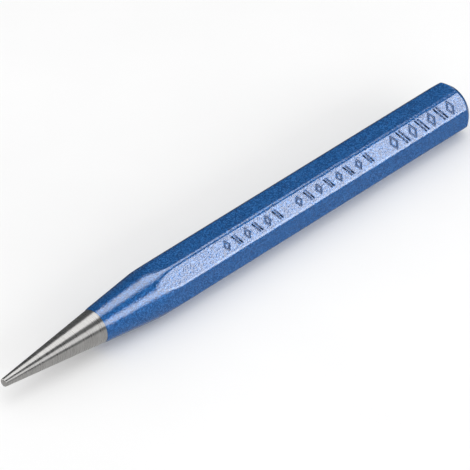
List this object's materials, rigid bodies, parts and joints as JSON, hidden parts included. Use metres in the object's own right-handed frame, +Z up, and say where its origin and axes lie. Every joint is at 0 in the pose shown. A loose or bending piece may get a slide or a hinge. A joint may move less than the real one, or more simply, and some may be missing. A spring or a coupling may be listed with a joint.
{
  "type": "center punch",
  "caption": "Solid steel punch with an octagonal lacquered shank, a long turned cone with a bare ground point and blunt nose, and a chamfered struck end.",
  "frame": {"origin": "on the surface that the punch lies on, under the middle of its length", "axes": "+X along the punch from the nose to the struck end, +Z up, with the punch lying on one flat"},
  "size_m": [0.12, 0.0102, 0.0102],
  "materials": {
    "ground_steel": "bare steel, finely ground round the cone",
    "turned_steel": "turned and hardened steel under the lacquer",
    "blue_lacquer": "glossy metallic blue lacquer with a slight orange peel"
  },
  "bodies": {
    "root": {"point": "ground_steel", "taper": "turned_steel", "shank": "turned_steel", "head": "turned_steel", "lacquer_coat": "blue_lacquer"}
  },
  "joints": []
}
